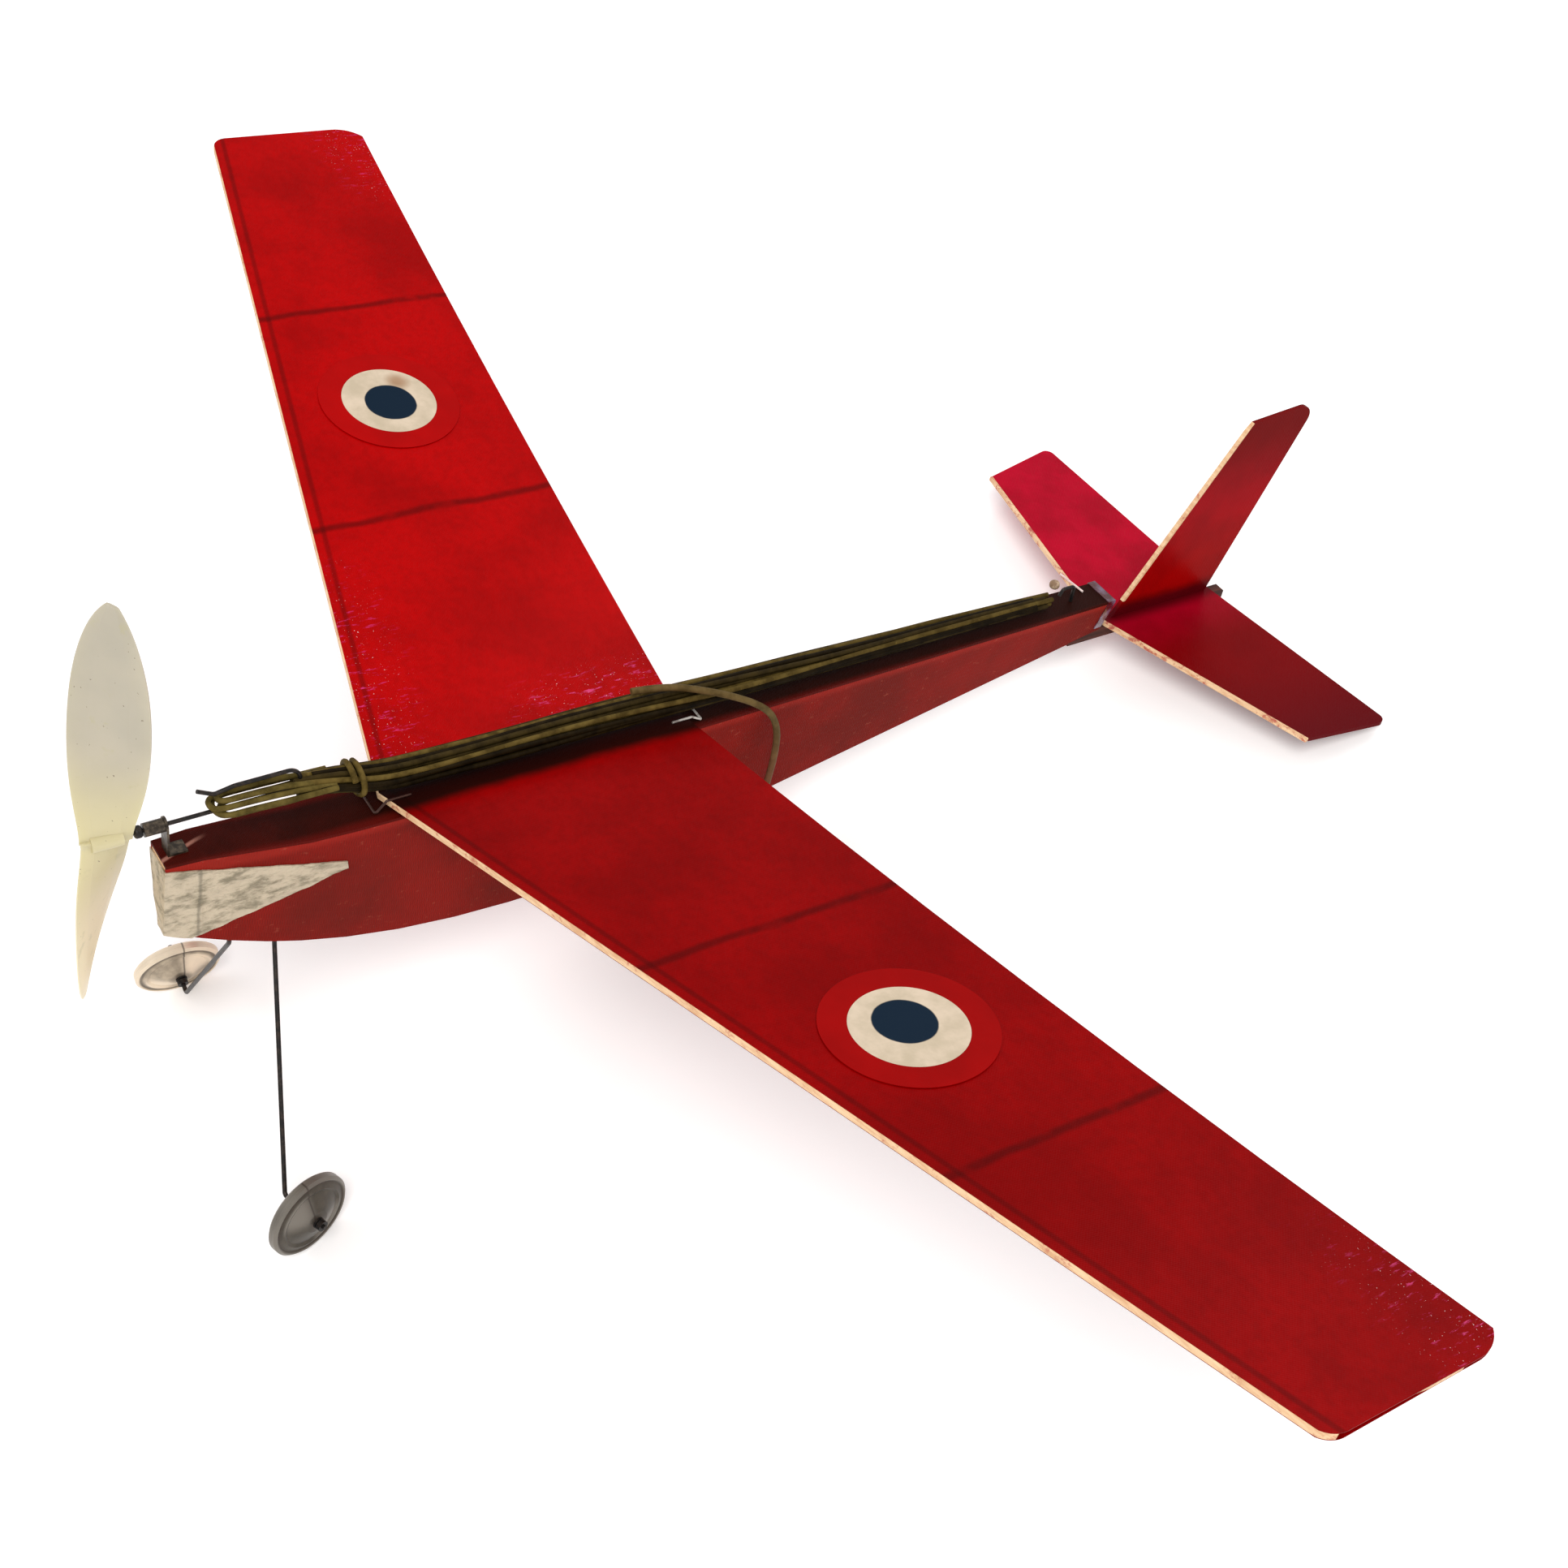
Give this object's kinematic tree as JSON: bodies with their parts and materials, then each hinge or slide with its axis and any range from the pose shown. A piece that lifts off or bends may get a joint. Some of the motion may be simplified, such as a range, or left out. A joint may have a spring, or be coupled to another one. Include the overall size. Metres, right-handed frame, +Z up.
{
  "type": "toy airplane",
  "caption": "Rubber-powered toy airplane with fabric-covered wings, twisted propeller, wire undercarriage and pressed tin wheels.",
  "frame": {"origin": "on the floor under the middle of the airplane's bounding box, as it stands on its wheels and tail stick", "axes": "+Z up, -Y towards the nose, +X towards the port wing tip"},
  "size_m": [0.64, 0.4732, 0.2178],
  "materials": {
    "fuselage_cover": "dull varnished cloth",
    "deck_cover": "dark varnished cloth",
    "wing_cover": "glossy varnished cloth",
    "bare_wood": "bare pale wood",
    "foil": "crumpled and oxidised",
    "band": "glossy",
    "dark_wood": "dark stained",
    "red_paper": "varnished paper",
    "pale_paper": "printed paper",
    "wire": "darkened wire",
    "clip_wire": "plain wire",
    "pin_wood": "pale",
    "celluloid": "aged, slightly translucent",
    "brass_bush": "tarnished",
    "bead": "glossy",
    "rubber_strand": "dull olive",
    "knot_cord": "dull tan",
    "tin": "aged tin plate",
    "ferrule": "dark"
  },
  "bodies": {
    "airframe": {"axle_stops": "wire", "fin": "wing_cover", "fin_front": "bare_wood", "formers": "bare_wood", "keel_strip": "bare_wood", "leg_block": "bare_wood", "leg_port": "wire", "leg_starboard": "wire", "loose_strand": "rubber_strand", "motor_loops": "rubber_strand", "motor_wrap": "rubber_strand", "nose_block": "bare_wood", "nose_plate": "foil", "pale_disc_port": "pale_paper", "pale_disc_starboard": "pale_paper", "rear_hook": "wire", "rear_knot": "knot_cord", "red_disc_port": "red_paper", "red_disc_starboard": "red_paper", "rubber_motor": "rubber_strand", "side_skin_port": "fuselage_cover", "side_skin_starboard": "fuselage_cover", "tail_band": "band", "tail_block": "bare_wood", "tail_pin": "pin_wood", "tail_stick": "dark_wood", "tailplane": "wing_cover", "tailplane_front_port": "bare_wood", "tailplane_front_starboard": "bare_wood", "thrust_bearing": "brass_bush", "top_deck": "deck_cover", "wing_clips": "clip_wire", "wing_cover_port": "wing_cover", "wing_cover_starboard": "wing_cover", "wing_front_port": "bare_wood", "wing_front_starboard": "bare_wood", "wing_joiner": "bare_wood", "wing_rear_port": "bare_wood", "wing_rear_starboard": "bare_wood", "wing_ribs_port": "bare_wood", "wing_ribs_starboard": "bare_wood"},
    "propeller_drive": {"propeller": "celluloid", "prop_shaft": "wire", "thrust_bead": "bead"},
    "wheel_port": {"wheel_port_outer": "tin", "wheel_port_inner": "tin", "wheel_port_hub": "ferrule"},
    "wheel_starboard": {"wheel_starboard_outer": "tin", "wheel_starboard_inner": "tin", "wheel_starboard_hub": "ferrule"}
  },
  "joints": [
    {"name": "propeller_spin", "type": "hinge", "parent": "airframe", "child": "propeller_drive", "pos_m": [0, -0.21099, 0.1431], "axis": [0, -0.9674, 0.2531], "continuous": true, "deforming": ["rubber_motor", "motor_loops", "motor_wrap"]},
    {"name": "wheel_port_spin", "type": "hinge", "parent": "airframe", "child": "wheel_port", "pos_m": [0.057, -0.20715, 0.01475], "axis": [0.9502, 0.3097, -0.0359], "continuous": true},
    {"name": "wheel_starboard_spin", "type": "hinge", "parent": "airframe", "child": "wheel_starboard", "pos_m": [-0.057, -0.20512, 0.01422], "axis": [-0.9491, 0.1376, 0.2834], "continuous": true}
  ]
}
